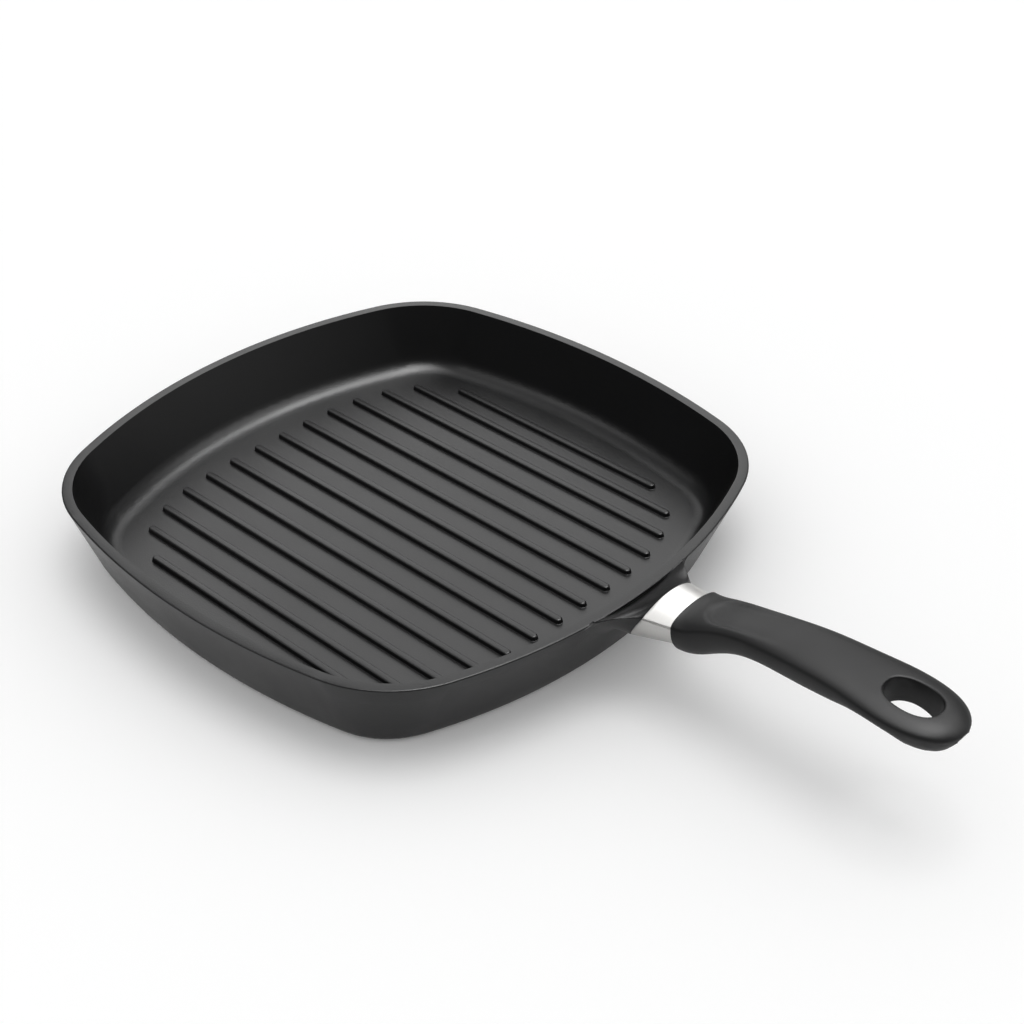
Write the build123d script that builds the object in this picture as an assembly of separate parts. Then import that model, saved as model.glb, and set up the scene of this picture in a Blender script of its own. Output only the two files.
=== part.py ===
from build123d import *
from math import cos, hypot, radians, sin, sqrt, tan
import os

# A square grill pan: a cast aluminium pan with raised ribs and a cast handle lug,
# a pressed-in steel base plate, a steel ferrule and a moulded grip on one screw.
# All lengths are in millimetres. The origin is the middle of the base, on the table.
# +X runs along the handle, +Z is up.

# Pan wall, seen from above as four shallow arcs joined by round corners
pan_length = 280.0
pan_width = 280.0
pan_height = 40.0
end_bow_radius = 260.0
side_bow_radius = 350.0
rim_corner_radius = 59.0
base_corner_radius = 36.0
end_flare = 16.5
side_flare = 14.0
wall_thickness = 5.0
floor_thickness = 8.0
base_edge_radius = 7.0
floor_edge_radius = 11.0
rim_edge_radius = 0.6

# Ribs on the floor, parallel to the handle
rib_pitch = 16.0
rib_width = 4.8
rib_height = 3.0
rib_crest_radius = 1.2
rib_draft_angle = 8.0
rib_length = 205.0
rib_place_shares = (0.5, 1.5, 2.5, 3.5, 4.5, 5.44, 6.27)
rib_length_shares = (1.0, 0.999, 0.99, 0.97, 0.922, 0.838, 0.645)

# Base plate, sunk flush into the underside and held by cast studs through its holes
plate_length = 176.0
plate_width = 176.0
plate_bow_radius = 300.0
plate_corner_radius = 40.0
plate_thickness = 1.2
plate_clearance = 0.3
stud_rows = 6
stud_pitch = 24.0
stud_diameter = 6.0
stud_clearance = 0.15

# Neck: the straight rising line that the lug, ferrule and tongue share
neck_tilt = 12.6
neck_drop = 0.9

# Ferrule: a drawn steel sleeve with a crease along each side. Its front edge
# leans to follow the pan's wall, its rear edge follows the grip's front.
ferrule_start = 12.8
ferrule_length = 17.0
ferrule_front_lean = 41.3
ferrule_rear_lean = 11.0
ferrule_front_half_width = 16.2
ferrule_front_crown = 8.4
ferrule_front_belly = 21.1
ferrule_rear_half_width = 13.8
ferrule_rear_crown = 3.5
ferrule_rear_belly = 15.2
ferrule_wall = 0.8
ferrule_clearance = 0.15
spigot_length = 8.0

# Lug: from the ferrule's front edge back into the wall, flaring and flattening
lug_reach = 22.2
lug_fall = 6.3
lug_flare = 20.0
lug_station_shares = (0.0, 0.10, 0.21, 0.32, 0.44, 0.55, 0.66, 0.82, 1.0)
lug_fall_shares = (0.0, 0.0, 0.02, 0.06, 0.13, 0.25, 0.42, 0.72, 1.0)
lug_flare_shares = (0.0, 0.085, 0.19, 0.30, 0.415, 0.54, 0.65, 0.81, 1.0)
lug_crown_shares = (1.0, 0.76, 0.44, 0.13, -0.16, -0.35, -0.43, -0.46, -0.48)
lug_belly_shares = (1.0, 0.99, 0.97, 0.95, 0.925, 0.90, 0.88, 0.855, 0.83)

# Tongue of the lug, inside ferrule and grip
tongue_end = 51.0
tongue_width = 15.0
tongue_height = 7.6
tongue_level = -2.5
tongue_edge_radius = 1.5
socket_clearance = 0.25

# Gasket between the ferrule and the grip, in the seat in the grip's front
gasket_thickness = 1.2
gasket_margin = 1.0
seat_depth = 2.0
seat_clearance = 0.2

# Grip, as stations from its front to the start of its round end
grip_length = 126.2
grip_drop = 0.3
grip_rise = 12.5
grip_half_width = 17.6
grip_crown = 5.4
grip_belly = 17.6
grip_station_shares = (0.0, 0.093, 0.187, 0.313, 0.471, 0.628, 0.786)
grip_rise_shares = (0.0, 0.224, 0.536, 0.784, 0.96, 1.0, 0.952)
grip_width_shares = (0.864, 0.81, 0.716, 0.733, 0.824, 0.898, 1.0)
grip_crown_shares = (1.0, 0.93, 0.852, 0.815, 0.815, 0.815, 0.815)
grip_belly_shares = (1.0, 0.835, 0.72, 0.682, 0.682, 0.62, 0.60)
end_station_shares = (0.22, 0.44, 0.63, 0.78, 0.89, 0.96, 0.992)
end_width_power = 2.3
end_depth_power = 4.0
end_depth_root = 2.5

# Hanging hole near the end of the grip
hole_length = 24.0
hole_width = 15.6
hole_to_end = 22.9
hole_rim_radius = 1.0

# Screw from the underside of the grip into an insert in the tongue
screw_from_grip_front = 11.0
screw_diameter = 5.0
screw_head_diameter = 9.0
screw_head_height = 2.5
screw_socket_across_flats = 3.0
screw_socket_depth = 1.5
screw_edge_radius = 0.6
screw_reach = 7.0
screw_clearance = 0.3
thread_clearance = 0.05
head_clearance = 0.5
counterbore_floor = 2.0
washer_thickness = 1.0
washer_clearance = 0.2
insert_diameter = 7.5
insert_clearance = 0.02

# Every cut runs past the face it opens by this much
overrun = 30.0

parts_folder = "parts"
os.makedirs(parts_folder, exist_ok=True)


def bowed_face(half_x, half_y, end_radius, side_radius, corner_radius, level):
    """A flat face with bowed ends and sides and round corners, at a height."""
    end_centre = half_x - end_radius
    side_centre = half_y - side_radius
    end_gap = end_radius - corner_radius
    side_gap = side_radius - corner_radius
    span = hypot(end_centre, side_centre)
    along = (end_gap**2 - side_gap**2 + span**2) / (2 * span)
    across = sqrt(end_gap**2 - along**2)
    ux, uy = -end_centre / span, side_centre / span
    corner_x = end_centre + along * ux - across * uy
    corner_y = along * uy + across * ux
    end_share = end_radius / end_gap
    side_share = side_radius / side_gap
    end_x = end_centre + (corner_x - end_centre) * end_share
    end_y = corner_y * end_share
    side_x = corner_x * side_share
    side_y = side_centre + (corner_y - side_centre) * side_share
    mid_x = (end_x + side_x) / 2 - corner_x
    mid_y = (end_y + side_y) / 2 - corner_y
    reach = corner_radius / hypot(mid_x, mid_y)
    mid_x = corner_x + mid_x * reach
    mid_y = corner_y + mid_y * reach
    arcs = [
        ThreePointArc((end_x, -end_y), (half_x, 0), (end_x, end_y)),
        ThreePointArc((end_x, end_y), (mid_x, mid_y), (side_x, side_y)),
        ThreePointArc((side_x, side_y), (0, half_y), (-side_x, side_y)),
        ThreePointArc((-side_x, side_y), (-mid_x, mid_y), (-end_x, end_y)),
        ThreePointArc((-end_x, end_y), (-half_x, 0), (-end_x, -end_y)),
        ThreePointArc((-end_x, -end_y), (-mid_x, -mid_y), (-side_x, -side_y)),
        ThreePointArc((-side_x, -side_y), (0, -half_y), (side_x, -side_y)),
        ThreePointArc((side_x, -side_y), (mid_x, -mid_y), (end_x, -end_y)),
    ]
    return Pos(0, 0, level) * Face(Wire(arcs))


def wall_face(inset, level):
    """The pan's outline at a height, drawn in from the outer wall by an inset."""
    depth_share = 1 - level / pan_height
    end_inset = inset + end_flare * depth_share
    side_inset = inset + side_flare * depth_share
    corner = rim_corner_radius + (base_corner_radius - rim_corner_radius) * depth_share - inset
    return bowed_face(
        pan_length / 2 - end_inset,
        pan_width / 2 - side_inset,
        end_bow_radius - end_inset,
        side_bow_radius - side_inset,
        corner,
        level,
    )


def pan_shell():
    """The flared outside of the pan, solid, with its lower edge rounded."""
    outside = loft([wall_face(0, 0), wall_face(0, pan_height)], ruled=True)
    outside = fillet(outside.edges().group_by(Axis.Z)[0], base_edge_radius)
    return fillet(outside.edges().group_by(Axis.Z)[-1], rim_edge_radius)


def pan_cavity():
    """The room inside the wall, with the round fillet where wall meets floor."""
    low = wall_face(wall_thickness, floor_thickness)
    high = wall_face(wall_thickness, pan_height + overrun)
    room = loft([low, high], ruled=True)
    return fillet(room.edges().group_by(Axis.Z)[0], floor_edge_radius)


def ribs():
    """Every rib as a tapered bar with round ends, rooted in the floor."""
    bars = []
    root = floor_thickness / 2
    spread = 2 * (root + rib_height) * tan(radians(rib_draft_angle))
    for place, share in zip(rib_place_shares, rib_length_shares):
        plan = SlotOverall(rib_length * share + spread / 2, rib_width + spread / 2)
        for offset in (place * rib_pitch, -place * rib_pitch):
            bar = extrude(Pos(0, offset, root) * plan, root + rib_height, taper=rib_draft_angle)
            bars.append(fillet(bar.edges().group_by(Axis.Z)[-1], rib_crest_radius))
    return bars


def leaning_plane(place, angle):
    """An upright plane across the handle whose normal rises by an angle."""
    tilt = radians(angle)
    return Plane(origin=place, x_dir=(0, 1, 0), z_dir=(cos(tilt), 0, sin(tilt)))


def neck_plane(distance, lean=0):
    """A plane at a distance along the neck, square to it or leaning away from the pan."""
    tilt = radians(neck_tilt)
    rise = pan_height - neck_drop + distance * sin(tilt)
    return leaning_plane((pan_length / 2 + distance * cos(tilt), 0, rise), neck_tilt - lean)


def creased_section(half_width, crown, belly):
    """A shallow arc over a deep one, meeting in a crease at each side."""
    top = ThreePointArc((half_width, 0), (0, crown), (-half_width, 0))
    bottom = ThreePointArc((-half_width, 0), (0, -belly), (half_width, 0))
    return Face(Wire([top, bottom]))


def ferrule_front_face(inset):
    section = creased_section(
        ferrule_front_half_width - inset, ferrule_front_crown - inset, ferrule_front_belly - inset
    )
    return neck_plane(ferrule_start, ferrule_front_lean) * section


def ferrule_rear_face(inset):
    section = creased_section(
        ferrule_rear_half_width - inset, ferrule_rear_crown - inset, ferrule_rear_belly - inset
    )
    return neck_plane(ferrule_start + ferrule_length, ferrule_rear_lean) * section


def ferrule_form(inset):
    """The tapering form of the ferrule, drawn in by an inset."""
    return loft([ferrule_front_face(inset), ferrule_rear_face(inset)], ruled=True)


def lug():
    """The cast root of the handle, flaring into the wall of the pan."""
    start = neck_plane(ferrule_start).origin
    faces = []
    table = zip(
        lug_station_shares, lug_fall_shares, lug_flare_shares, lug_crown_shares, lug_belly_shares
    )
    for station, fall, flare, crown, belly in table:
        place = start - Vector(lug_reach * station, 0, lug_fall * fall)
        section = creased_section(
            ferrule_front_half_width + lug_flare * flare,
            ferrule_front_crown * crown,
            ferrule_front_belly * belly,
        )
        faces.append(leaning_plane(place, neck_tilt - ferrule_front_lean) * section)
    return loft(faces)


def spigot():
    """The stub of the lug that fills the front of the ferrule."""
    end_face = neck_plane(ferrule_start + spigot_length) * Rectangle(pan_width, pan_width)
    reach = extrude(end_face, -pan_length)
    return ferrule_form(ferrule_wall + ferrule_clearance) & reach


def tongue_bar(start, end, clearance):
    """The straight bar that carries the grip, or the socket around it."""
    plan = Pos(0, tongue_level) * RectangleRounded(
        tongue_width + 2 * clearance, tongue_height + 2 * clearance, tongue_edge_radius + clearance
    )
    return extrude(neck_plane(start) * plan, end - start)


def screw_axis(level):
    """A plane across the screw at a height over the tongue's middle, facing up."""
    base = neck_plane(grip_start() + screw_from_grip_front)
    origin = base.origin + base.y_dir * (tongue_level + level)
    return Plane(origin=origin, x_dir=(0, 1, 0), z_dir=base.y_dir)


def screw_line():
    return Axis(origin=screw_axis(0).origin, direction=screw_axis(0).z_dir)


def screw_cylinder(diameter, low, high):
    """A cylinder on the screw's axis between two heights over the tongue's middle."""
    return extrude(screw_axis(low) * Circle(diameter / 2), high - low)


# Heights on the screw's axis, from the tongue's middle
tongue_bottom = -tongue_height / 2
seat_level = tongue_bottom - socket_clearance - counterbore_floor
head_top = seat_level - washer_thickness
head_bottom = head_top - screw_head_height


def base_pocket():
    """The shallow recess for the base plate, less the studs that hold the plate."""
    pocket = extrude(plate_outline(plate_clearance), plate_thickness)
    return pocket - studs(stud_diameter / 2, 0, plate_thickness)


def plate_outline(clearance):
    return bowed_face(
        plate_length / 2 + clearance,
        plate_width / 2 + clearance,
        plate_bow_radius,
        plate_bow_radius,
        plate_corner_radius,
        0,
    )


def studs(radius, low, high):
    """One cylinder for each stud, on a square grid with its corners left out."""
    posts = []
    middle = (stud_rows - 1) / 2
    for row in range(stud_rows):
        for column in range(stud_rows):
            if abs(row - middle) + abs(column - middle) < stud_rows - 1:
                place = Pos((column - middle) * stud_pitch, (row - middle) * stud_pitch, low)
                posts.append(extrude(place * Circle(radius), high - low))
    return posts


def pan_body():
    body = pan_shell() + lug()
    body = body - pan_cavity()
    body = body + ribs()
    body = body + spigot()
    body = body + tongue_bar(ferrule_start, tongue_end, 0)
    body = body - base_pocket()
    return body - screw_cylinder(insert_diameter + 2 * insert_clearance, -overrun, overrun)


def induction_plate():
    plate = extrude(plate_outline(0), plate_thickness)
    return plate - studs(stud_diameter / 2 + stud_clearance, 0, plate_thickness)


def ferrule():
    return ferrule_form(0) - ferrule_form(ferrule_wall)


def grip_start():
    """Distance along the neck from the rim's end to the grip's front face."""
    return ferrule_start + ferrule_length - seat_depth


def grip_stations():
    """Place, half width, crown and belly of each section along the grip."""
    start = neck_plane(grip_start()).origin - Vector(0, 0, grip_drop)
    rows = []
    table = zip(
        grip_station_shares, grip_rise_shares, grip_width_shares, grip_crown_shares, grip_belly_shares
    )
    for along, rise, width, crown, belly in table:
        place = start + Vector(grip_length * along, 0, grip_rise * rise)
        rows.append((place, grip_half_width * width, grip_crown * crown, grip_belly * belly))
    return rows


def rounded_end(rows):
    """Sections that close the grip's end, narrowing and thinning towards the tip."""
    last, half_width, crown, belly = rows[-1]
    slope = (last - rows[-2][0]).Z / (last - rows[-2][0]).X
    run = grip_length * (1 - grip_station_shares[-1])
    tail = []
    for share in end_station_shares:
        width_share = (1 - share**end_width_power) ** (1 / end_width_power)
        depth_share = (1 - share**end_depth_power) ** (1 / end_depth_root)
        drop = (belly - crown) / 2 * (1 - depth_share)
        place = last + Vector(run * share, 0, run * share * slope - drop)
        tail.append((place, half_width * width_share, crown * depth_share, belly * depth_share))
    return tail


def oval_section(half_width, crown, belly):
    """Half an ellipse over half a deeper one, smooth at the sides."""
    top = EllipticalCenterArc((0, 0), half_width, crown, 0, arc_size=180)
    bottom = EllipticalCenterArc((0, 0), half_width, belly, 180, arc_size=180)
    return Face(Wire([top, bottom]))


def grip_blank():
    rows = grip_stations()
    rows = rows + rounded_end(rows)
    front_normal = neck_plane(grip_start(), ferrule_rear_lean).z_dir
    faces = []
    for index, (place, half_width, crown, belly) in enumerate(rows):
        before = rows[max(index - 1, 0)][0]
        after = rows[min(index + 1, len(rows) - 1)][0]
        facing = after - before if index else front_normal
        plane = Plane(origin=place, x_dir=(0, 1, 0), z_dir=facing)
        faces.append(plane * oval_section(half_width, crown, belly))
    return loft(faces)


def hanging_hole():
    """The oval hole through the grip, upright, near its end."""
    rows = grip_stations()
    middle = rows[0][0] + Vector(grip_length - hole_to_end, 0, grip_rise)
    outline = Pos(middle.X, 0, middle.Z - overrun) * Ellipse(hole_length / 2, hole_width / 2)
    return extrude(outline, 2 * overrun)


def grip():
    body = grip_blank() - hanging_hole()
    hole_rims = [edge for edge in body.edges() if edge.is_closed]
    body = fillet(hole_rims, hole_rim_radius)
    body = body - ferrule_form(-seat_clearance)
    body = body - extrude(ferrule_rear_face(-seat_clearance), gasket_thickness)
    body = body - tongue_bar(ferrule_start, tongue_end + socket_clearance, socket_clearance)
    body = body - screw_cylinder(screw_diameter + 2 * screw_clearance, -overrun, 0)
    return body - screw_cylinder(screw_head_diameter + 2 * head_clearance, -overrun, seat_level)


def gasket():
    """A heat-proof ring between the ferrule's rear edge and the grip."""
    ring = extrude(ferrule_rear_face(0), gasket_thickness)
    return ring - tongue_bar(ferrule_start, tongue_end, gasket_margin)


def threaded_insert():
    sleeve = screw_cylinder(insert_diameter, tongue_bottom, -tongue_bottom)
    return sleeve - screw_cylinder(screw_diameter + 2 * thread_clearance, -overrun, overrun)


def handle_screw():
    head = screw_cylinder(screw_head_diameter, head_bottom, head_top)
    head = fillet(head.edges().sort_by(screw_line())[0], screw_edge_radius)
    shank = screw_cylinder(screw_diameter, head_top, tongue_bottom + screw_reach)
    socket_radius = screw_socket_across_flats / 2 / cos(radians(30))
    socket = screw_axis(head_bottom) * RegularPolygon(socket_radius, 6)
    return head + shank - extrude(socket, screw_socket_depth)


def spring_washer():
    ring = screw_cylinder(screw_head_diameter, head_top, seat_level)
    bore = screw_cylinder(screw_diameter + 2 * washer_clearance, -overrun, overrun)
    return ring - bore


nodes = {
    "pan_body": pan_body,
    "induction_plate": induction_plate,
    "ferrule": ferrule,
    "ferrule_gasket": gasket,
    "grip": grip,
    "threaded_insert": threaded_insert,
    "handle_screw": handle_screw,
    "spring_washer": spring_washer,
}
for name, make in nodes.items():
    export_step(make(), os.path.join(parts_folder, name + ".step"))
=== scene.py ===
"""Dresses a square cast aluminium grill pan and sets it on a pale studio floor."""

import math

import bmesh
import bpy
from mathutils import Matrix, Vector


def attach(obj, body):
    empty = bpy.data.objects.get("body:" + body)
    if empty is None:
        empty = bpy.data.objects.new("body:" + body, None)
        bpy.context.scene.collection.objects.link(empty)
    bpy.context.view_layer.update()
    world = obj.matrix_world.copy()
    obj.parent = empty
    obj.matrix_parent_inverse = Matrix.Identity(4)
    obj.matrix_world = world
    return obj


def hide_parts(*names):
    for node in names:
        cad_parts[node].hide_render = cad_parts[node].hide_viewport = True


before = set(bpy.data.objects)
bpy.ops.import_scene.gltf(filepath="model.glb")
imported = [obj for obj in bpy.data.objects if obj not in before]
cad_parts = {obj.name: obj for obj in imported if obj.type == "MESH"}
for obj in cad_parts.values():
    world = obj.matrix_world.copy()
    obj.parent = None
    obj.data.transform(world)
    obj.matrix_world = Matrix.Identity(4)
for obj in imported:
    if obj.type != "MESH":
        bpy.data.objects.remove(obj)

bl_info = {
    "name": "Grill Pan",
    "version": (1, 0, 0),
    "blender": (4, 5, 0),
    "location": "3D View > Sidebar > Grill Pan",
    "description": "Dresses a ribbed cast aluminium grill pan with a moulded handle",
    "category": "Object",
}

MM = 0.001

# Each lamp: name, degrees round from +X, degrees down from overhead, strength, degrees wide, sheen alone
LAMPS = (
    ("overhead_softbox", 90, 6, 0.56, 36, False),
    ("overhead_sheen", 0, 9, 3.1, 32, True),
    ("key_softbox", 90, 22, 2.7, 30, True),
    ("side_softbox", 45, 45, 0.7, 30, True),
    ("back_softbox", 135, 57, 0.95, 42, True),
    ("left_softbox", 180, 22, 0.25, 30, True),
    ("front_softbox", 225, 45, 0.4, 26, True),
)

# Just over the width and height in mm of the frame's plain ribs
PLAIN_RIB_WIDTH = 5.0
PLAIN_RIB_HEIGHT = 3.01

# The pan's end wall on the handle's side, in mm: the middle and the radius of its bow at the rim, the rim's
# height, and how far the wall draws in from there to the base
BOW_MIDDLE = -120.0
BOW_RADIUS = 260.0
RIM_HEIGHT = 40.0
WALL_FLARE = 16.5

# The rim's end, from which the neck's line starts, in mm along X
RIM_END = 140.0

# Just short of the grip's end, in mm along X
GRIP_END = 293.9

# Each station of the grip in mm: place along the handle, height of its widest line, crown, belly
GRIP_STATIONS = (
    (167.0, 44.9, 5.4, 17.6),
    (179.0, 47.7, 5.0, 14.7),
    (191.0, 51.6, 4.6, 12.7),
    (207.0, 54.7, 4.4, 12.0),
    (227.0, 56.9, 4.4, 12.0),
    (246.0, 57.4, 4.4, 10.9),
    (266.0, 56.8, 4.4, 10.5),
    (280.0, 55.4, 4.9, 9.0),
    (294.0, 54.8, 5.2, 8.5),
)

# Each station of the grip's underside in mm: place along the handle, lift
UNDERSIDE_LIFTS = (
    (200.0, 0.0), (208.0, -0.2), (222.0, -0.8), (234.0, -1.0), (243.0, -0.6), (252.0, 0.7), (261.0, 1.4),
    (269.0, 1.0), (277.0, -0.3), (284.0, -0.9), (294.0, -1.1),
)

# Each station of the lug as shares: place, fall, flare, crown, belly
LUG_STATIONS = (
    (0.0, 0.0, 0.0, 1.0, 1.0),
    (0.10, 0.0, 0.085, 0.76, 0.99),
    (0.21, 0.02, 0.19, 0.44, 0.97),
    (0.32, 0.06, 0.30, 0.13, 0.95),
    (0.44, 0.13, 0.415, -0.16, 0.925),
    (0.55, 0.25, 0.54, -0.35, 0.90),
    (0.66, 0.42, 0.65, -0.43, 0.88),
    (0.82, 0.72, 0.81, -0.46, 0.855),
    (1.0, 1.0, 1.0, -0.48, 0.83),
)


def linear(hex_colour):
    """The linear red, green and blue of an sRGB hex colour."""
    digits = hex_colour.lstrip("#")
    channels = [int(digits[place:place + 2], 16) / 255 for place in (0, 2, 4)]
    return [c / 12.92 if c <= 0.04045 else ((c + 0.055) / 1.055) ** 2.4 for c in channels]


def colour_setting(name, description, hex_colour):
    return bpy.props.FloatVectorProperty(
        name=name, description=description, default=linear(hex_colour), subtype="COLOR", min=0, max=1
    )


def length_setting(name, description, millimetres):
    return bpy.props.FloatProperty(
        name=name, description=description, default=millimetres * MM, unit="LENGTH", precision=5
    )


def angle_setting(name, description, degrees):
    return bpy.props.FloatProperty(
        name=name, description=description, default=math.radians(degrees), unit="ROTATION"
    )


def number_setting(name, description, number):
    return bpy.props.FloatProperty(name=name, description=description, default=number)


def shares_setting(name, description, shares):
    """One share for each rib on one side of the middle."""
    return bpy.props.FloatVectorProperty(
        name=name, description=description, default=shares, size=len(shares)
    )


def section_setting(name, description, millimetres):
    """Half width, crown and belly of a section."""
    return bpy.props.FloatVectorProperty(
        name=name, description=description + ": half width, crown and belly",
        default=[size * MM for size in millimetres], unit="LENGTH", precision=5,
    )


class GrillPanColours(bpy.types.PropertyGroup):
    """The colours of the grill pan's finishes"""

    coating: colour_setting("Coating", "Non-stick coating over the cast aluminium", "#101011")
    grip: colour_setting("Grip", "Moulded plastic of the grip", "#101011")
    ferrule: colour_setting("Ferrule", "Satin stainless steel of the ferrule", "#cbcac8")
    base_plate: colour_setting("Base plate", "Stainless steel of the base plate", "#b9b7b3")
    fastener: colour_setting("Fasteners", "Zinc-plated steel of the screw and washer", "#a9aaac")
    insert: colour_setting("Insert", "Brass of the threaded insert", "#c8a45c")
    gasket: colour_setting("Gasket", "Silicone rubber of the gasket", "#1c1c1d")
    floor: colour_setting("Floor", "Studio floor under the pan", "#fefefe")


class GrillPanSizes(bpy.types.PropertyGroup):
    """The sizes that shape the pieces modelled over the frame"""

    floor_level: length_setting("Floor level", "Height of the cooking floor", 8.0)
    rib_pitch: length_setting("Rib pitch", "From one rib to the next", 16.0)
    rib_places: shares_setting(
        "Rib places", "Each rib's distance from the middle, as a share of the pitch",
        (0.5, 1.5, 2.5, 3.5, 4.5, 5.44, 6.27),
    )
    rib_length: length_setting("Rib length", "Length of the longest rib", 205.0)
    rib_lengths: shares_setting(
        "Rib lengths", "Each rib's length, as a share of the longest",
        (1.0, 0.999, 0.99, 0.97, 0.922, 0.838, 0.645),
    )
    rib_width: length_setting("Rib width", "Width of a rib at the floor", 4.2)
    rib_height: length_setting("Rib height", "Height of a rib over the floor", 2.1)
    rib_crest: length_setting("Rib crest", "Radius along the top of a rib", 0.9)
    rib_root: length_setting("Rib root", "Radius where a rib meets the floor", 0.25)
    rib_draft: angle_setting("Rib draft", "Lean of a rib's side", 8)
    neck_start: length_setting("Neck start", "From the rim's end to the ferrule, along the neck", 12.8)
    neck_height: length_setting("Neck height", "Height of the neck's line at the rim's end", 39.1)
    neck_tilt: angle_setting("Neck tilt", "Rise of the neck's line", 12.6)
    front_lean: angle_setting("Front lean", "Lean of the ferrule's front edge", 41.3)
    rear_lean: angle_setting("Rear lean", "Lean of the ferrule's rear edge", 11.0)
    ferrule_length: length_setting("Ferrule length", "From its front edge to its rear edge", 17.0)
    ferrule_wall: length_setting("Ferrule wall", "Thickness of the ferrule's steel", 0.8)
    front_section: section_setting("Front section", "The ferrule at its front", (16.2, 8.4, 21.1))
    rear_section: section_setting("Rear section", "The ferrule at its rear", (13.8, 3.5, 15.2))
    front_crease: length_setting("Front crease", "Rise of the side crease at the ferrule's front", 1.4)
    rear_crease: length_setting("Rear crease", "Rise of the side crease at the ferrule's rear", -1.0)
    front_bow: length_setting("Front bow", "How far the ferrule's front edge bows over the lug", 2.0)
    seam_width: length_setting("Seam width", "Width of the pressed line along the ferrule's sides", 0.45)
    seam_depth: length_setting("Seam depth", "Depth of the pressed line along the ferrule's sides", 0.5)
    lug_reach: length_setting("Lug reach", "From the ferrule back into the wall", 22.2)
    lug_fall: length_setting("Lug fall", "Fall of the lug towards the wall", 6.3)
    lug_flare: length_setting("Lug flare", "Widening of each side towards the wall", 20.0)
    lug_edge: length_setting("Lug edge", "Radius along the lug's side edges", 0.7)
    lug_root: length_setting("Lug root", "Reach of the fillet where the lug meets the wall", 5.0)
    root_top: length_setting("Root top", "Height that the lug's fillet stays under, below the rim", 38.4)
    gap_root: length_setting("Gap root", "Reach of the fillet in the gap under the rim", 0.8)
    scoop_depth: length_setting("Scoop depth", "Depth of the thumb scoop in the grip", 1.2)
    scoop_place: length_setting("Scoop place", "Where the scoop's round front begins, along X", 186.0)
    scoop_front: length_setting("Scoop front", "Length of the scoop's round front", 11.0)
    scoop_reach: length_setting("Scoop reach", "From the scoop's middle to its sides", 9.5)
    scoop_run: length_setting("Scoop run", "Length over which the scoop fades out", 40.0)
    crown_power: number_setting("Crown power", "Squareness of the grip's crown, 2 being round", 2.7)
    crown_height: number_setting("Crown height", "Share of its height that the grip's crown keeps", 0.95)
    tip_power: number_setting("Tip power", "Squareness of the grip's belly at its tip, 2 being round", 2.9)
    hole_place: length_setting("Hole place", "Middle of the hanging hole, along X", 270.4)
    hole_length: length_setting("Hole length", "Length of the frame's hanging hole", 24.0)
    hole_width: length_setting("Hole width", "Width of the frame's hanging hole", 15.6)
    hole_widening: number_setting("Hole widening", "How much the hanging hole is widened, as a share", 0.1)
    hole_power: number_setting("Hole power", "Squareness of the hanging hole, 2 being round", 2.3)


class GrillPanStage(bpy.types.PropertyGroup):
    """The sizes of the studio and the place of the camera"""

    floor_size: length_setting("Floor size", "Side of the square studio floor", 6000.0)
    lamp_distance: length_setting("Lamp distance", "From the pan's middle to each lamp", 1500.0)
    camera_azimuth: angle_setting("Camera azimuth", "Angle round the pan from the front", 43.006)
    camera_elevation: angle_setting("Camera elevation", "Angle above the floor", 35.314)
    camera_distance: length_setting("Camera distance", "From the camera to the point it faces", 885.4)
    target_x: length_setting("Target along X", "The point of the floor that the camera faces", 21.22)
    target_y: length_setting("Target along Y", "The point of the floor that the camera faces", 47.27)
    camera_lens: number_setting("Camera lens", "Focal length for the sensor, in millimetres", 64.34)
    camera_sensor: number_setting("Camera sensor", "Width of the sensor, in millimetres", 36.0)


def node(tree, kind, inputs=None, **settings):
    """Adds a shader node with its settings, and fills or links its inputs."""
    made = tree.nodes.new("ShaderNode" + kind)
    for name, value in settings.items():
        setattr(made, name, value)
    for name, value in (inputs or {}).items():
        if isinstance(value, bpy.types.NodeSocket):
            tree.links.new(value, made.inputs[name])
        else:
            made.inputs[name].default_value = value
    return made


def new_material(name):
    """An empty node material and the tree to build it in."""
    material = bpy.data.materials.new(name)
    material.use_nodes = True
    material.node_tree.nodes.clear()
    return material, material.node_tree


def shade(colour, factor):
    """A colour made lighter or darker by a factor, with full alpha."""
    return [min(1.0, channel * factor) for channel in colour] + [1.0]


def dress(piece, material):
    """Gives a piece its only material."""
    piece.data.materials.clear()
    piece.data.materials.append(material)


def dress_node(name, material):
    """Gives a node of the frame its material."""
    dress(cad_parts[name], material)


def edit(piece):
    """Opens one piece alone in edit mode, with nothing picked."""
    if bpy.context.mode != "OBJECT":
        bpy.ops.object.mode_set(mode="OBJECT")
    bpy.ops.object.select_all(action="DESELECT")
    piece.select_set(True)
    bpy.context.view_layer.objects.active = piece
    bpy.ops.object.mode_set(mode="EDIT")
    bpy.ops.mesh.select_all(action="DESELECT")


def leave():
    """Closes edit mode."""
    bpy.ops.object.mode_set(mode="OBJECT")


def pick(piece, kind, test):
    """Picks the vertices, edges or faces that pass a test, and returns how many."""
    bpy.ops.mesh.select_mode(type=kind)
    bpy.ops.mesh.select_all(action="DESELECT")
    mesh = bmesh.from_edit_mesh(piece.data)
    items = {"VERT": mesh.verts, "EDGE": mesh.edges, "FACE": mesh.faces}[kind]
    found = [item for item in items if test(item)]
    for item in found:
        item.select_set(True)
    mesh.select_flush_mode()
    bmesh.update_edit_mesh(piece.data)
    return len(found)


def middle(item):
    """The middle of an edge or face."""
    return sum((corner.co for corner in item.verts), Vector()) / len(item.verts)


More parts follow.
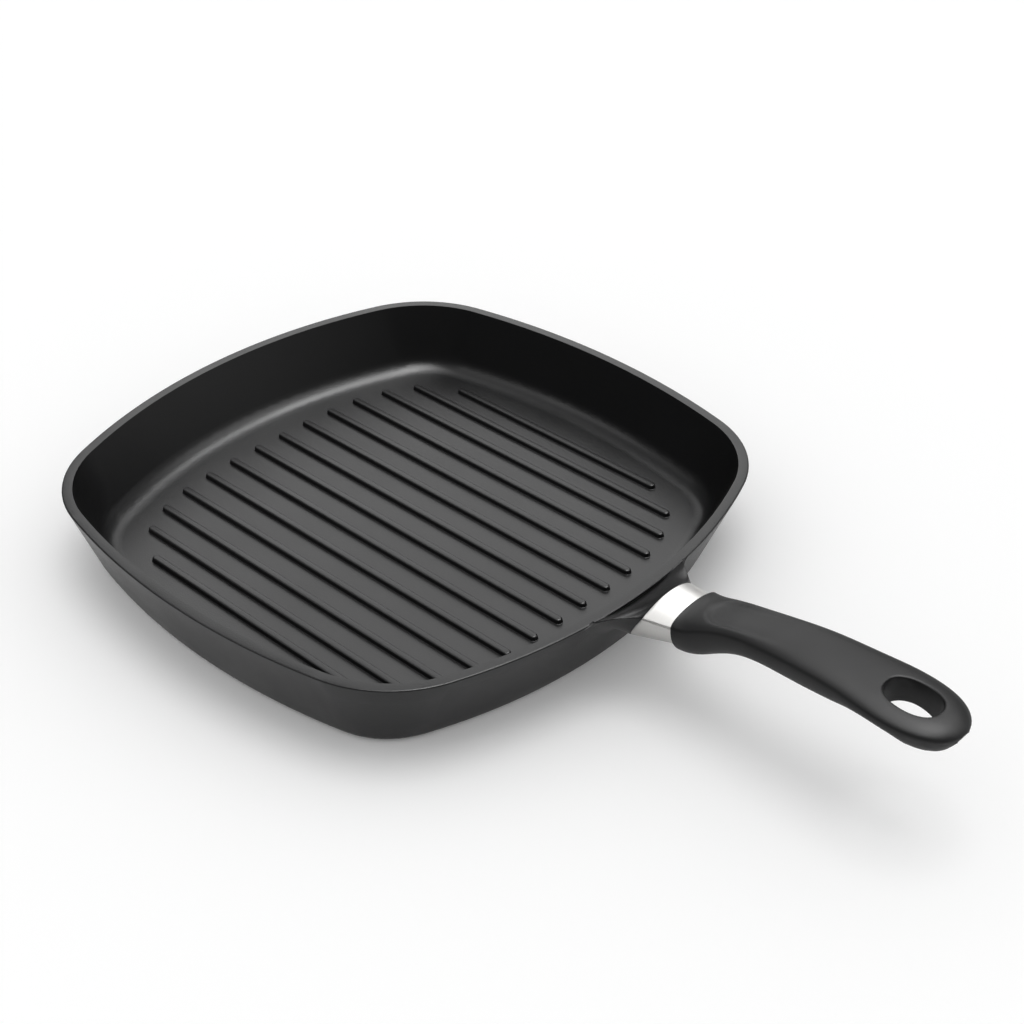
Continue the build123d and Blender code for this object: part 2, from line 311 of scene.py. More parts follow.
def copy_node(name, piece_name):
    """A copy of a node's mesh, its loose triangles merged, as a piece of its own."""
    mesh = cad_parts[name].data.copy()
    piece = bpy.data.objects.new(piece_name, mesh)
    bpy.context.collection.objects.link(piece)
    edit(piece)
    bpy.ops.mesh.select_all(action="SELECT")
    bpy.ops.mesh.customdata_custom_splitnormals_clear()
    bpy.ops.mesh.remove_doubles(threshold=0.002 * MM)
    leave()
    return piece


def finish_piece(piece, body, node_name, angle=35):
    """Smooths a piece's shading, and ties it to the frame in place of a node."""
    bpy.ops.object.select_all(action="DESELECT")
    piece.select_set(True)
    bpy.context.view_layer.objects.active = piece
    bpy.ops.object.shade_smooth_by_angle(angle=math.radians(angle))
    bpy.ops.object.modifier_add(type="WEIGHTED_NORMAL")
    piece.modifiers[-1].keep_sharp = True
    piece.modifiers[-1].mode = "CORNER_ANGLE"
    bpy.ops.object.modifier_apply(modifier=piece.modifiers[-1].name)
    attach(piece, body)
    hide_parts(node_name)


def mottled(tree, grain, colour, darker, lighter):
    """A colour that goes between a darker and a lighter shade with the grain."""
    mix = node(
        tree, "Mix",
        {"Factor": grain.outputs["Fac"], "A": shade(colour, darker), "B": shade(colour, lighter)},
        data_type="RGBA",
    )
    return mix.outputs["Result"]


def clouded(tree, cloud, low, high):
    """A roughness that goes slowly between two values."""
    rough = node(
        tree, "MapRange",
        {"Value": cloud.outputs["Fac"], "From Min": 0.3, "From Max": 0.7, "To Min": low, "To Max": high},
    )
    return rough.outputs["Result"]


def surface(tree, grain, strength, depth, inputs):
    """Ends a material's tree with the grain's relief, the shader and the output."""
    bump = node(tree, "Bump", {"Height": grain.outputs["Fac"], "Strength": strength, "Distance": depth})
    shader = node(tree, "BsdfPrincipled", {**inputs, "Normal": bump.outputs["Normal"]})
    node(tree, "OutputMaterial", {"Surface": shader.outputs["BSDF"]})


def coated_aluminium():
    """Cast aluminium, shot-blasted and sprayed with a black non-stick coating.

    The eye sees a dull near-black with a fine pebbled grain and a broad soft sheen.
    """
    material, tree = new_material("coated_cast_aluminium")
    place = node(tree, "TexCoord").outputs["Object"]
    # Sprayed grain about 0.7 mm across
    grain = node(tree, "TexNoise", {"Vector": place, "Scale": 1400.0, "Detail": 3.0, "Roughness": 0.6})
    # Cloudy change of sheen over about 40 mm
    cloud = node(tree, "TexNoise", {"Vector": place, "Scale": 25.0, "Detail": 2.0})
    surface(tree, grain, 0.35, 0.15 * MM, {
        "Base Color": mottled(tree, grain, bpy.context.scene.grill_pan_colours.coating, 0.8, 1.25),
        "Roughness": clouded(tree, cloud, 0.30, 0.36),
        "IOR": 1.38,
    })
    return material


def moulded_plastic():
    """Heat-resistant phenolic plastic, compression moulded in a finely etched tool.

    The eye sees a soft matt black with a faint satin light along its crowns.
    """
    material, tree = new_material("moulded_phenolic_plastic")
    place = node(tree, "TexCoord").outputs["Object"]
    # Etched grain about 0.4 mm across, and a change of sheen over about 25 mm
    grain = node(tree, "TexNoise", {"Vector": place, "Scale": 2500.0, "Detail": 2.0})
    cloud = node(tree, "TexNoise", {"Vector": place, "Scale": 40.0, "Detail": 2.0})
    surface(tree, grain, 0.2, 0.1 * MM, {
        "Base Color": mottled(tree, grain, bpy.context.scene.grill_pan_colours.grip, 0.9, 1.12),
        "Roughness": clouded(tree, cloud, 0.46, 0.54),
        "IOR": 1.35,
    })
    return material


def gasket_rubber():
    """Heat-proof silicone rubber, moulded soft.

    The eye sees a dull, almost even black that takes up the light, with no sharp glint.
    """
    material, tree = new_material("silicone_rubber")
    place = node(tree, "TexCoord").outputs["Object"]
    # Faint blotches about 3 mm across
    cloud = node(tree, "TexNoise", {"Vector": place, "Scale": 300.0, "Detail": 3.0})
    surface(tree, cloud, 0.15, 0.1 * MM, {
        "Base Color": mottled(tree, cloud, bpy.context.scene.grill_pan_colours.gasket, 0.9, 1.15),
        "Roughness": 0.72,
        "IOR": 1.41,
    })
    return material


def brushed_metal(name, colour, roughness, grain_scale, stretch):
    """Bare metal with fine marks from polishing, brushing or plating.

    The eye sees a bright grey or yellow whose highlights spread across the marks.
    """
    material, tree = new_material(name)
    place = node(tree, "TexCoord").outputs["Object"]
    along = node(tree, "Mapping", {"Vector": place, "Scale": stretch})
    grain = node(tree, "TexNoise", {"Vector": along.outputs["Vector"], "Scale": grain_scale, "Detail": 3.0})
    rough = node(
        tree, "MapRange",
        {"Value": grain.outputs["Fac"], "To Min": roughness - 0.04, "To Max": roughness + 0.05},
    )
    surface(tree, grain, 0.08, 0.05 * MM, {
        "Base Color": mottled(tree, grain, colour, 0.94, 1.04),
        "Roughness": rough.outputs["Result"],
        "Metallic": 1.0,
    })
    return material


def studio_floor():
    """A seamless paper sweep, evenly white, that keeps the pan's shadow."""
    colours = bpy.context.scene.grill_pan_colours
    material, tree = new_material("white_paper_sweep")
    paper = node(tree, "BsdfDiffuse", {"Color": shade(colours.floor, 1.0)})
    # The paper is backlit a little, which lightens the shadows that the camera sees
    rays = node(tree, "LightPath").outputs
    backlight = node(tree, "Math", {0: rays["Is Camera Ray"], 1: 0.04}, operation="MULTIPLY")
    glow = node(tree, "Emission", {"Color": shade(colours.floor, 1.0), "Strength": backlight.outputs[0]})
    both = node(tree, "AddShader", {0: paper.outputs["BSDF"], 1: glow.outputs["Emission"]})
    node(tree, "OutputMaterial", {"Surface": both.outputs["Shader"]})
    return material


def studio_world():
    """Even soft light all round, behind a white backdrop, with dark surrounds in the sheen."""
    world = bpy.data.worlds.new("studio")
    world.use_nodes = True
    tree = world.node_tree
    tree.nodes.clear()
    rays = node(tree, "LightPath").outputs
    direction = node(tree, "TexCoord").outputs["Generated"]
    # A low pale wall of the studio, behind the pan on the right
    side = node(tree, "VectorMath", {0: direction, 1: (0.66, 0.66, -0.35)}, operation="DOT_PRODUCT")
    facing = side.outputs["Value"]
    sheen = node(
        tree, "MapRange",
        {"Value": facing, "From Min": 0.45, "From Max": 0.92, "To Min": 0.12, "To Max": 0.85},
        interpolation_type="SMOOTHSTEP",
    )
    light = node(tree, "Background", {"Color": (1, 1, 1, 1), "Strength": 0.8})
    mirrored = node(tree, "Background", {"Color": (1, 1, 1, 1), "Strength": sheen.outputs["Result"]})
    backdrop = node(tree, "Background", {"Color": (1, 1, 1, 1), "Strength": 1.0})
    seen = node(
        tree, "Math", {0: rays["Is Camera Ray"], 1: rays["Is Transmission Ray"]}, operation="MAXIMUM"
    )
    studio = node(
        tree, "MixShader",
        {"Fac": rays["Is Glossy Ray"], 1: light.outputs["Background"], 2: mirrored.outputs["Background"]},
    )
    mix = node(
        tree, "MixShader",
        {"Fac": seen.outputs[0], 1: studio.outputs["Shader"], 2: backdrop.outputs["Background"]},
    )
    node(tree, "OutputWorld", {"Surface": mix.outputs["Shader"]})
    world.cycles.sampling_method = "NONE"
    bpy.context.scene.world = world


def add_lamp(stage, name, around, down, strength, angle, sheen):
    """A soft lamp far off, at degrees round from +X and down from overhead, for lighting or sheen alone."""
    around = math.radians(around)
    down = math.radians(down)
    toward = Vector((math.sin(down) * math.cos(around), math.sin(down) * math.sin(around), math.cos(down)))
    bpy.ops.object.light_add(type="SUN", location=toward * stage.lamp_distance)
    lamp = bpy.context.object
    lamp.name = name
    lamp.rotation_euler = toward.to_track_quat("Z", "Y").to_euler()
    lamp.data.energy = strength
    lamp.data.angle = math.radians(angle)
    lamp.visible_diffuse = not sheen
    lamp.visible_glossy = sheen


class GRILLPAN_OT_stage(bpy.types.Operator):
    """Add the studio floor, the lights and the camera"""

    bl_idname = "grillpan.stage"
    bl_label = "Set the Stage"

    def execute(self, context):
        stage = context.scene.grill_pan_stage
        bpy.ops.object.select_all(action="DESELECT")
        bpy.ops.mesh.primitive_plane_add(size=stage.floor_size, location=(0, 0, 0))
        floor = context.object
        floor.name = "studio_floor"
        floor.data.materials.append(studio_floor())

        studio_world()
        for lamp in LAMPS:
            add_lamp(stage, *lamp)

        azimuth = stage.camera_azimuth
        elevation = stage.camera_elevation
        back = Vector((
            math.sin(azimuth) * math.cos(elevation),
            -math.cos(azimuth) * math.cos(elevation),
            math.sin(elevation),
        ))
        target = Vector((stage.target_x, stage.target_y, 0))
        bpy.ops.object.camera_add(location=target + back * stage.camera_distance)
        camera = context.object
        camera.name = "photo_camera"
        camera.rotation_euler = (-back).to_track_quat("-Z", "Y").to_euler()
        camera.data.sensor_width = stage.camera_sensor
        camera.data.lens = stage.camera_lens
        context.scene.camera = camera
        context.scene.view_settings.view_transform = "Standard"
        return {"FINISHED"}


def ease(value):
    """From 0 to 1 smoothly, as the value does."""
    value = min(1.0, max(0.0, value))
    return value * value * (3 - 2 * value)


def rib_profile(sizes):
    """The steps inwards and upwards that shape a rib from its foot to its top."""
    slope = math.pi / 2 - sizes.rib_draft
    foot = sizes.rib_root * math.tan(slope / 2)
    shoulder = sizes.rib_crest * math.tan(slope / 2)
    corner = foot + sizes.rib_height * math.tan(sizes.rib_draft)
    points = []
    for step in range(5):
        turn = slope * step / 4
        points.append((sizes.rib_root * math.sin(turn), sizes.rib_root * (1 - math.cos(turn))))
    for step in range(7):
        turn = slope * (1 - step / 6)
        points.append((
            corner + shoulder - sizes.rib_crest * math.sin(turn),
            sizes.rib_height - sizes.rib_crest * (1 - math.cos(turn)),
        ))
    return foot, points


def model_rib(sizes, length):
    """One rib along X over the middle of the floor, from a circle stretched and stepped inwards."""
    sunk = 0.02 * MM
    foot, points = rib_profile(sizes)
    radius = sizes.rib_width / 2 + foot
    bpy.ops.object.select_all(action="DESELECT")
    bpy.ops.mesh.primitive_circle_add(
        vertices=32, radius=radius, fill_type="NGON", location=(0, 0, sizes.floor_level - MM)
    )
    rib = bpy.context.object
    rib.name = "rib"
    bpy.ops.object.transform_apply(location=True)
    edit(rib)
    for side in (1, -1):
        pick(rib, "VERT", lambda corner: corner.co.x * side > 0.01 * MM)
        bpy.ops.transform.translate(value=(side * (length / 2 + foot - radius), 0, 0))
    bpy.ops.mesh.select_all(action="SELECT")
    bpy.ops.mesh.extrude_region_move(TRANSFORM_OT_translate={"value": (0, 0, MM - sunk)})
    before = (0, -sunk)
    for point in points[1:]:
        bpy.ops.mesh.inset(thickness=point[0] - before[0], depth=point[1] - before[1])
        before = point
    bpy.ops.mesh.select_all(action="SELECT")
    bpy.ops.mesh.normals_make_consistent(inside=False)
    leave()
    return rib


def lay_ribs(sizes):
    """Copies the one rib to every place, each copy shortened to its own length."""
    first = model_rib(sizes, sizes.rib_length)
    ribs = []
    for place, share in zip(sizes.rib_places, sizes.rib_lengths):
        for side in (1, -1):
            bpy.ops.object.select_all(action="DESELECT")
            first.select_set(True)
            bpy.context.view_layer.objects.active = first
            bpy.ops.object.duplicate()
            rib = bpy.context.object
            edit(rib)
            shorter = sizes.rib_length * (1 - share) / 2
            for end in (1, -1):
                pick(rib, "VERT", lambda corner: corner.co.x * end > 0.01 * MM)
                bpy.ops.transform.translate(value=(-end * shorter, 0, 0))
            bpy.ops.mesh.select_all(action="SELECT")
            bpy.ops.transform.translate(value=(0, side * place * sizes.rib_pitch, 0))
            leave()
            ribs.append(rib)
    bpy.data.objects.remove(first)
    return ribs


def clear_floor(pan, sizes):
    """Takes the plain ribs off the copied pan and closes the floor with one flat face."""
    level = sizes.floor_level
    rows = [
        (place * sizes.rib_pitch, share * sizes.rib_length / 2)
        for place, share in zip(sizes.rib_places, sizes.rib_lengths)
    ]

    def of_floor(face):
        spot = middle(face)
        if abs(spot.z - level) < 0.003 * MM:
            return face.normal.z > 0.999
        if not level < spot.z < level + PLAIN_RIB_HEIGHT * MM:
            return False
        near = (
            abs(abs(spot.y) - place) < PLAIN_RIB_WIDTH / 2 * MM and abs(spot.x) < half + 0.6 * MM
            for place, half in rows
        )
        return any(near)

    edit(pan)
    pick(pan, "FACE", of_floor)
    bpy.ops.mesh.delete(type="FACE")
    pick(pan, "EDGE", lambda edge: edge.is_boundary and abs(middle(edge).z - level) < 0.01 * MM)
    bpy.ops.mesh.edge_face_add()
    bpy.ops.mesh.select_all(action="SELECT")
    bpy.ops.mesh.normals_make_consistent(inside=False)
    leave()


def outside_wall(spot):
    """How far a point stands outside the pan's end wall, which bows and flares."""
    radius = (BOW_RADIUS - WALL_FLARE * (1 - spot.z / (RIM_HEIGHT * MM))) * MM
    return math.hypot(spot.x - BOW_MIDDLE * MM, spot.y) - radius


def away_from_wall(spot):
    """The level direction out of the end wall at a point."""
    return Vector((spot.x - BOW_MIDDLE * MM, spot.y, 0)).normalized()


def onto_wall(spot, sunk):
    """The point moved level onto the end wall, and sunk into it."""
    return spot - away_from_wall(spot) * (outside_wall(spot) + sunk)


def arc_point(half_width, rise, share):
    """A point on the arc over a width, from -1 at one end to 1 at the other."""
    turn = 2 * math.atan(rise / half_width)
    if abs(turn) < 0.001:
        return half_width * share, rise * (1 - share * share)
    across = half_width * math.sin(turn * share) / math.sin(turn)
    return across, half_width * (math.cos(turn * share) - math.cos(turn)) / math.sin(turn)


def curve(first, corner, last, share):
    """A point on the smooth curve that rounds a corner."""
    weights = ((1 - share) ** 2, 2 * share * (1 - share), share ** 2)
    return tuple(sum(w * p[axis] for w, p in zip(weights, (first, corner, last))) for axis in range(2))


def creased_outline(section, crease, edge, seam):
    """A shallow arc over a deep one, round at both side edges, with a seam under each edge."""
    half_width = section[0]
    crown = section[1] - crease
    belly = section[2] + crease
    top_turn = max(0.001, abs(2 * math.atan(crown / half_width)))
    top_half = half_width * top_turn / math.sin(top_turn)
    low_turn = 2 * math.atan(belly / half_width)
    low_half = half_width * low_turn / math.sin(low_turn)
    cut = 1 - edge / top_half
    lip = edge * 0.7
    start = lip + max(seam[0], 0.2 * MM)

    def low(length, side):
        across, down = arc_point(half_width, belly, side * (1 - length / low_half))
        return across, -down

    points = [arc_point(half_width, crown, cut * (1 - step / 20)) for step in range(41)]
    for side in (-1, 1):
        peak = arc_point(half_width, crown, side * cut)
        corner = [curve(peak, (side * half_width, 0), low(lip, side), step / 6) for step in range(1, 7)]
        groove = low((lip + start) / 2, side)
        corner.append((groove[0] - side * seam[1] * (1.0 if side == -1 else 0.2), groove[1]))
        corner.append(low(start, side))
        if side == -1:
            points += corner
            for step in range(1, 60):
                across, down = arc_point(half_width, belly, (1 - start / low_half) * (step / 30 - 1))
                points.append((across, -down))
        else:
            points += reversed(corner)
    return [(across, rise + crease) for across, rise in points]


def place_outline(points, place, lean):
    """Stands an outline up across the handle, leaning from the upright."""
    up = Vector((-math.sin(lean), 0, math.cos(lean)))
    return [place + Vector((0, across, 0)) + up * rise for across, rise in points]


def neck_point(sizes, distance):
    """A point on the neck's line, at a distance from the rim's end."""
    along = Vector((math.cos(sizes.neck_tilt), 0, math.sin(sizes.neck_tilt)))
    return Vector((RIM_END * MM, 0, sizes.neck_height)) + along * distance


def sweep(name, rings, solid=True):
    """Extrudes a circle from outline to outline, with both ends closed or the last on the first."""
    bpy.ops.object.select_all(action="DESELECT")
    bpy.ops.mesh.primitive_circle_add(vertices=len(rings[0]), radius=MM, location=(0, 0, 0))
    piece = bpy.context.object
    piece.name = name
    for corner, spot in zip(piece.data.vertices, rings[0]):
        corner.co = spot
    edit(piece)
    bpy.ops.mesh.select_all(action="SELECT")
    if solid:
        bpy.ops.mesh.edge_face_add()
    for before, after in zip(rings, rings[1:]):
        moves = {tuple(round(c / MM, 4) for c in old): new for old, new in zip(before, after)}
        bpy.ops.mesh.extrude_region_move()
        mesh = bmesh.from_edit_mesh(piece.data)
        for corner in mesh.verts:
            if corner.select:
                corner.co = moves[tuple(round(c / MM, 4) for c in corner.co)]
        bmesh.update_edit_mesh(piece.data)
    bpy.ops.mesh.select_all(action="SELECT")
    bpy.ops.mesh.remove_doubles(threshold=0.001 * MM)
    bpy.ops.mesh.normals_make_consistent(inside=False)
    leave()
    return piece


def between(stations, place):
    """The values of a station at any place, on a smooth curve through those given."""
    last = len(stations) - 2
    index = next((i for i in range(last) if stations[i + 1][0] > place), last)
    one, two = stations[index], stations[index + 1]
    before = stations[max(index - 1, 0)]
    after = stations[min(index + 2, last + 1)]
    span = two[0] - one[0]
    share = (place - one[0]) / span
    values = []
    for k in range(1, len(one)):
        rise = (two[k] - before[k]) / (two[0] - before[0]) * span
        fall = (after[k] - one[k]) / (after[0] - one[0]) * span
        square, cube = share ** 2, share ** 3
        values.append(
            (2 * cube - 3 * square + 1) * one[k] + (cube - 2 * square + share) * rise
            + (3 * square - 2 * cube) * two[k] + (cube - square) * fall
        )
    return values


def bow_front(sizes, outline, share):
    """Draws the crown of an outline forward over the lug, by a share of the front edge's bow."""
    level = neck_point(sizes, sizes.neck_start).z
    height = sizes.front_section[1] * math.cos(sizes.neck_tilt - sizes.front_lean)
    bowed = []
    for spot in outline:
        rise = min(1.0, max(0.0, (spot.z - level - sizes.front_crease) / (height - sizes.front_crease)))
        bowed.append(spot - Vector((sizes.front_bow * share * rise, 0, 0)))
    return bowed


def lug_outline(sizes, place, inset=0.0):
    """The lug's section at a share of its length from the ferrule to the wall."""
    fall, flare, crown, belly = between(LUG_STATIONS, place)
    section = (
        sizes.front_section[0] + sizes.lug_flare * flare - inset,
        sizes.front_section[1] * crown - inset,
        sizes.front_section[2] * belly - inset,
    )
    spot = neck_point(sizes, sizes.neck_start) - Vector((sizes.lug_reach * place, 0, sizes.lug_fall * fall))
    outline = creased_outline(section, sizes.front_crease * (1 + 0.2 * place), sizes.lug_edge, (0, 0))
    outline = place_outline(outline, spot, sizes.neck_tilt - sizes.front_lean)
    return bow_front(sizes, outline, max(0.0, 1 - place / 0.4))


def ferrule_outline(sizes, place, inset=0.0, seam_depth=0.0):
    """The ferrule's section at a share of its length, drawn in by an inset."""
    ends = []
    for distance, lean, section, crease in (
        (sizes.neck_start, sizes.front_lean, sizes.front_section, sizes.front_crease),
        (sizes.neck_start + sizes.ferrule_length, sizes.rear_lean, sizes.rear_section, sizes.rear_crease),
    ):
        drawn_in = [size - inset for size in section]
        points = creased_outline(drawn_in, crease, sizes.lug_edge, (sizes.seam_width, seam_depth))
        ends.append(place_outline(points, neck_point(sizes, distance), sizes.neck_tilt - lean))
    outline = [front.lerp(rear, place) for front, rear in zip(*ends)]
    return bow_front(sizes, outline, max(0.0, 1 - place / 0.5))


def model_ferrule(sizes):
    """The ferrule as a thin shell, its front edge rolled in and a seam pressed along each side."""
    wall = sizes.ferrule_wall
    depth = sizes.seam_depth
    rolled = 0.018
    rings = [
        ferrule_outline(sizes, 0.0, wall),
        ferrule_outline(sizes, 0.0, 0.25 * MM, depth * 0.5),
        ferrule_outline(sizes, rolled / 3, 0.08 * MM, depth * 0.8),
    ]
    for step in range(17):
        rings.append(ferrule_outline(sizes, rolled + (1 - rolled) * step / 16, 0.0, depth))
    for step in range(9):
        rings.append(ferrule_outline(sizes, 1.0 - step / 8, wall))
    return sweep("steel_ferrule", rings, solid=False)


def model_lug(sizes):
    """The lug as one smooth skin, from the ferrule into the fillet round its root in the wall."""
    steps = 60
    table = [lug_outline(sizes, 1.1 * step / steps) for step in range(steps + 1)]
    columns = [list(column) for column in zip(*table)]
    joint = []
    for column in columns:
        index = next(k for k in range(steps) if outside_wall(column[k + 1]) < 0)
        one, two = outside_wall(column[index]), outside_wall(column[index + 1])
        joint.append(column[index].lerp(column[index + 1], one / (one - two)))
        del column[index + 1:]
        column.append(joint[-1])
    ways = []
    count = len(columns)
    for index, column in enumerate(columns):
        tangent = (joint[(index + 1) % count] - joint[index - 1]).normalized()
        wall = (away_from_wall(joint[index]) - Vector((0, 0, WALL_FLARE / RIM_HEIGHT))).normalized()
        way = tangent.cross(wall).normalized()
        ways.append(way if way.dot(joint[index] - joint[(index + count // 2) % count]) > 0 else -way)
    for smoothing in range(6):
        ways = [(ways[k - 1] + ways[k] * 2 + ways[(k + 1) % count]).normalized() for k in range(count)]
    rows = []
    for column, corner, way in zip(columns, joint, ways):
        # The fillet is long at the sides and below, and short in the gap under the rim
        reach = sizes.gap_root + (sizes.lug_root - sizes.gap_root) * ease((0.9 - way.z) / 0.5)
        if corner.z + way.z * reach > sizes.root_top:
            reach = max(0.3 * MM, (sizes.root_top - corner.z) / way.z)
        lengths = [0.0]
        for one, two in zip(column, column[1:]):
            lengths.append(lengths[-1] + (two - one).length)

        def along(length):
            end = len(column) - 2
            index = next((k for k in range(end) if lengths[k + 1] > length), end)
            gap = lengths[index + 1] - lengths[index]
            return column[index].lerp(column[index + 1], (length - lengths[index]) / gap)

        first = along(lengths[-1] - reach)
        last = onto_wall(corner + way * reach, 0.02 * MM)
        row = [along((lengths[-1] - reach) * step / 24) for step in range(24)]
        for step in range(10):
            share = step / 9
            row.append(first * (1 - share) ** 2 + corner * 2 * share * (1 - share) + last * share ** 2)
        row.append(onto_wall(last, MM))
        rows.append(row)
    rings = [list(ring) for ring in zip(*rows)]
    rings[0] = [spot.lerp(rings[1][index], 0.12) for index, spot in enumerate(rings[0])]
    rings.insert(0, lug_outline(sizes, 0.0, 0.15 * MM))
    return sweep("lug", rings)


def sink_lug(pan):
    """Draws the plain lug in a little, so that the smooth one covers it."""
    edit(pan)
    pick(
        pan, "VERT",
        lambda corner: outside_wall(corner.co) > 0.05 * MM and corner.co.x < 157 * MM
        and abs(corner.co.y) < 50 * MM,
    )
    bpy.ops.transform.shrink_fatten(value=-0.45 * MM)
    leave()


def fuller(share, power):
    """A height on a round arc moved onto a squarer one of the same rise."""
    share = min(1.0, max(0.0, share))
    return (1 - (1 - share * share) ** (power / 2)) ** (1 / power)


def scoop(sizes, spot):
    """How deep the thumb scoop is: a round front rim, and a bed that fades out along the handle."""
    behind = spot.x - sizes.scoop_place
    ahead = min(0.0, behind) / sizes.scoop_front
    away = math.hypot(ahead, spot.y / sizes.scoop_reach)
    return sizes.scoop_depth * (1 - ease((away - 0.72) / 0.36)) * (1 - ease(behind / sizes.scoop_run))


def square_section(sizes, spot):
    """Moves a point of the grip up or down: a squarer crown with the scoop, and an even underside."""
    place = min(GRIP_END, spot.x / MM)
    level, crown, belly = (size * MM for size in between(GRIP_STATIONS, place))
    if spot.z > level:
        rise = (spot.z - level) / crown
        dip = scoop(sizes, spot) * ease(rise * 2)
        raised = level + crown * sizes.crown_height * fuller(rise, sizes.crown_power)
        # Fully past the collar, and little at the tip, which stays round
        share = ease((place - 170) / 20) * (1 - 0.8 * ease((place - 258) / 22))
        spot.z += (raised - spot.z) * share - dip
    elif place > 200:
        lift = between(UNDERSIDE_LIFTS, place)[0] * MM
        deep = (level - spot.z) / belly
        tip = ease((place - 272) / 16)
        spot.z += lift * ease(deep * 1.6) * (1 - 0.6 * tip)
        if deep < 1:
            spot.z -= belly * (fuller(deep, sizes.tip_power) - deep) * tip * 0.3


def widen_hole(sizes, spot):
    """Moves a point near the hanging hole outwards, for a squarer and wider hole."""
    along = (spot.x - sizes.hole_place) / (sizes.hole_length / 2)
    across = spot.y / (sizes.hole_width / 2)
    away = max(0.001, math.hypot(along, across))
    power = sizes.hole_power
    squarer = (abs(along / away) ** power + abs(across / away) ** power) ** (-1 / power) - 1
    share = 1 - ease(away - 1.0)
    spot.x += (spot.x - sizes.hole_place) * squarer * share
    spot.y += spot.y * (squarer + sizes.hole_widening) * share


def shape_grip(grip, sizes):
    """Cuts the long edges on top of the grip, moves its points and softens its tip."""

    def long_on_top(edge):
        spot = middle(edge)
        return (
            edge.calc_length() > 1.6 * MM and 168 * MM < spot.x < 226 * MM
            and spot.z > between(GRIP_STATIONS, spot.x / MM)[0] * MM
            and min(face.normal.z for face in edge.link_faces) > 0.3
        )

    def round_tip(corner):
        # Low on the grip's end, outside a circle that holds the hanging hole
        spot = corner.co
        outside = math.hypot(spot.x - 276.2 * MM, spot.y) > 10 * MM
        return outside and spot.x > 277 * MM and spot.z < 55.5 * MM

    edit(grip)
    for cut in range(5):
        if not pick(grip, "EDGE", long_on_top):
            break
        bpy.ops.mesh.subdivide(number_cuts=1)
    mesh = bmesh.from_edit_mesh(grip.data)
    for corner in mesh.verts:
        square_section(sizes, corner.co)
        widen_hole(sizes, corner.co)
    bmesh.update_edit_mesh(grip.data)
    pick(grip, "VERT", round_tip)
    bpy.ops.mesh.vertices_smooth(factor=0.5, repeat=20)
    leave()


def join(pieces):
    """Joins pieces into the first one."""
    bpy.ops.object.select_all(action="DESELECT")
    for piece in pieces:
        piece.select_set(True)
    bpy.context.view_layer.objects.active = pieces[0]
    bpy.ops.object.join()
    return pieces[0]


class GRILLPAN_OT_pan(bpy.types.Operator):
    """Model the cast pan with its ribs, and finish it"""

    bl_idname = "grillpan.pan"
    bl_label = "Model the Pan"

    def execute(self, context):
        sizes = context.scene.grill_pan_sizes
        pan = copy_node("pan_body", "cast_pan")
        clear_floor(pan, sizes)
        sink_lug(pan)
        join([pan, model_lug(sizes), *lay_ribs(sizes)])
        dress(pan, coated_aluminium())
        finish_piece(pan, "root", "pan_body")
        return {"FINISHED"}


class GRILLPAN_OT_base_plate(bpy.types.Operator):
    """Finish the steel base plate"""

    bl_idname = "grillpan.base_plate"
    bl_label = "Finish the Base Plate"

    def execute(self, context):
        colours = context.scene.grill_pan_colours
        steel = brushed_metal("brushed_stainless_base", colours.base_plate, 0.32, 900.0, (0.06, 1.0, 1.0))
        dress_node("induction_plate", steel)
        return {"FINISHED"}


class GRILLPAN_OT_ferrule(bpy.types.Operator):
    """Model the steel ferrule with its side seams, and finish it"""

    bl_idname = "grillpan.ferrule"
    bl_label = "Model the Ferrule"

    def execute(self, context):
        colours = context.scene.grill_pan_colours
        ferrule = model_ferrule(context.scene.grill_pan_sizes)
        steel = brushed_metal("satin_stainless_ferrule", colours.ferrule, 0.42, 1500.0, (1.0, 0.08, 0.08))
        dress(ferrule, steel)
        finish_piece(ferrule, "root", "ferrule", 30)
        return {"FINISHED"}


class GRILLPAN_OT_grip(bpy.types.Operator):
    """Model the moulded grip with its thumb scoop, and finish it"""

    bl_idname = "grillpan.grip"
    bl_label = "Model the Grip"

    def execute(self, context):
        grip = copy_node("grip", "moulded_grip")
        shape_grip(grip, context.scene.grill_pan_sizes)
        dress(grip, moulded_plastic())
        finish_piece(grip, "root", "grip", 40)
        return {"FINISHED"}


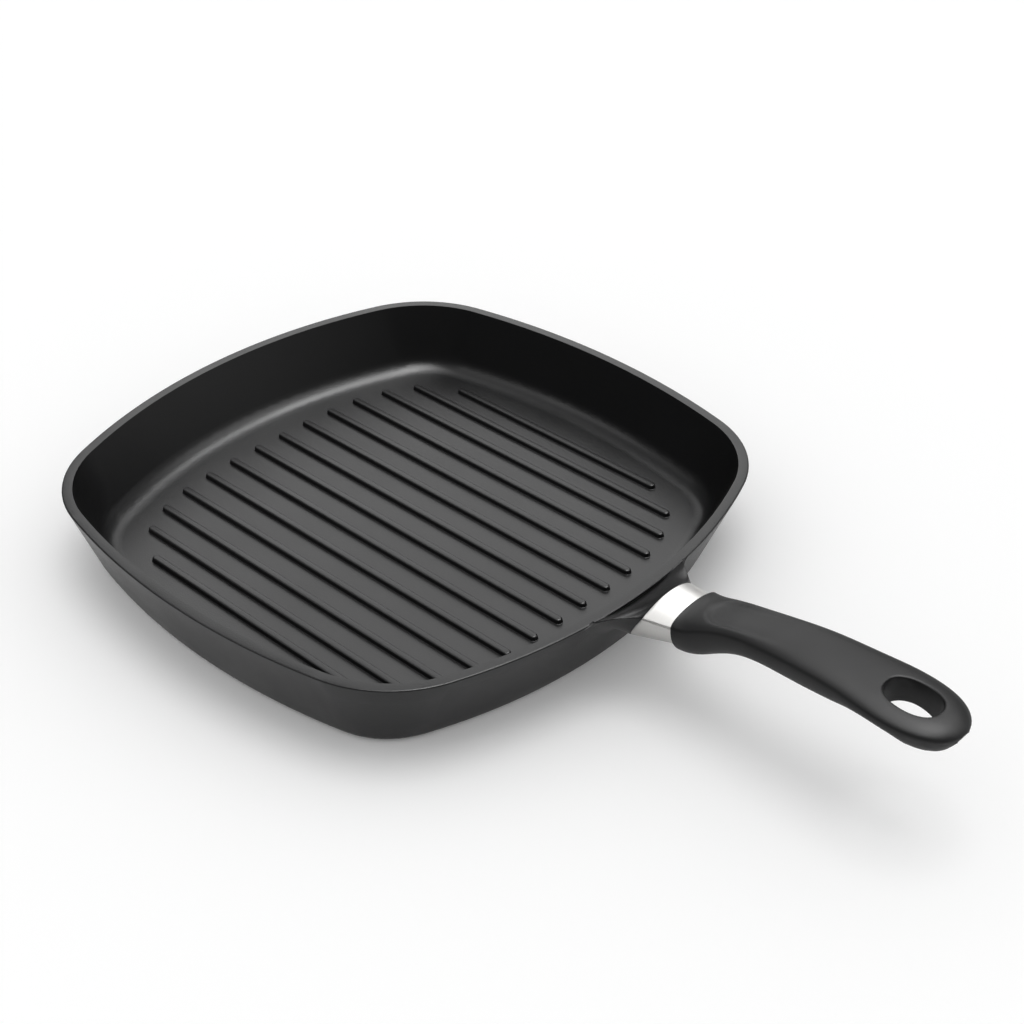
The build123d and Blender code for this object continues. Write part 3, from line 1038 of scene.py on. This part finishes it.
class GRILLPAN_OT_fasteners(bpy.types.Operator):
    """Finish the gasket, the insert, the screw and its washer"""

    bl_idname = "grillpan.fasteners"
    bl_label = "Finish the Fasteners"

    def execute(self, context):
        colours = context.scene.grill_pan_colours
        steel = brushed_metal("zinc_plated_steel", colours.fastener, 0.35, 1200.0, (1.0, 1.0, 1.0))
        dress_node("handle_screw", steel)
        dress_node("spring_washer", steel)
        brass = brushed_metal("turned_brass", colours.insert, 0.3, 1500.0, (1.0, 1.0, 0.1))
        dress_node("threaded_insert", brass)
        dress_node("ferrule_gasket", gasket_rubber())
        return {"FINISHED"}


class GRILLPAN_PT_sidebar(bpy.types.Panel):
    """The grill pan's steps, in order, and its settings"""

    bl_label = "Grill Pan"
    bl_idname = "GRILLPAN_PT_sidebar"
    bl_space_type = "VIEW_3D"
    bl_region_type = "UI"
    bl_category = "Grill Pan"

    def draw(self, context):
        for step in STEPS:
            self.layout.operator(step.bl_idname)
        scene = context.scene
        for group in (scene.grill_pan_sizes, scene.grill_pan_colours, scene.grill_pan_stage):
            box = self.layout.box()
            for name in group.__annotations__:
                box.prop(group, name)


SETTINGS = (GrillPanSizes, GrillPanColours, GrillPanStage)
STEPS = (
    GRILLPAN_OT_stage,
    GRILLPAN_OT_pan,
    GRILLPAN_OT_base_plate,
    GRILLPAN_OT_ferrule,
    GRILLPAN_OT_grip,
    GRILLPAN_OT_fasteners,
)


def register():
    for group in (*SETTINGS, *STEPS, GRILLPAN_PT_sidebar):
        bpy.utils.register_class(group)
    bpy.types.Scene.grill_pan_sizes = bpy.props.PointerProperty(type=GrillPanSizes)
    bpy.types.Scene.grill_pan_colours = bpy.props.PointerProperty(type=GrillPanColours)
    bpy.types.Scene.grill_pan_stage = bpy.props.PointerProperty(type=GrillPanStage)


def unregister():
    del bpy.types.Scene.grill_pan_stage
    del bpy.types.Scene.grill_pan_colours
    del bpy.types.Scene.grill_pan_sizes
    for group in (GRILLPAN_PT_sidebar, *reversed(STEPS), *reversed(SETTINGS)):
        bpy.utils.unregister_class(group)


def main():
    """Runs every step in order."""
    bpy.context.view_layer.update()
    register()
    bpy.ops.grillpan.stage()
    bpy.ops.grillpan.pan()
    bpy.ops.grillpan.base_plate()
    bpy.ops.grillpan.ferrule()
    bpy.ops.grillpan.grip()
    bpy.ops.grillpan.fasteners()


if __name__ == "__main__":
    main()
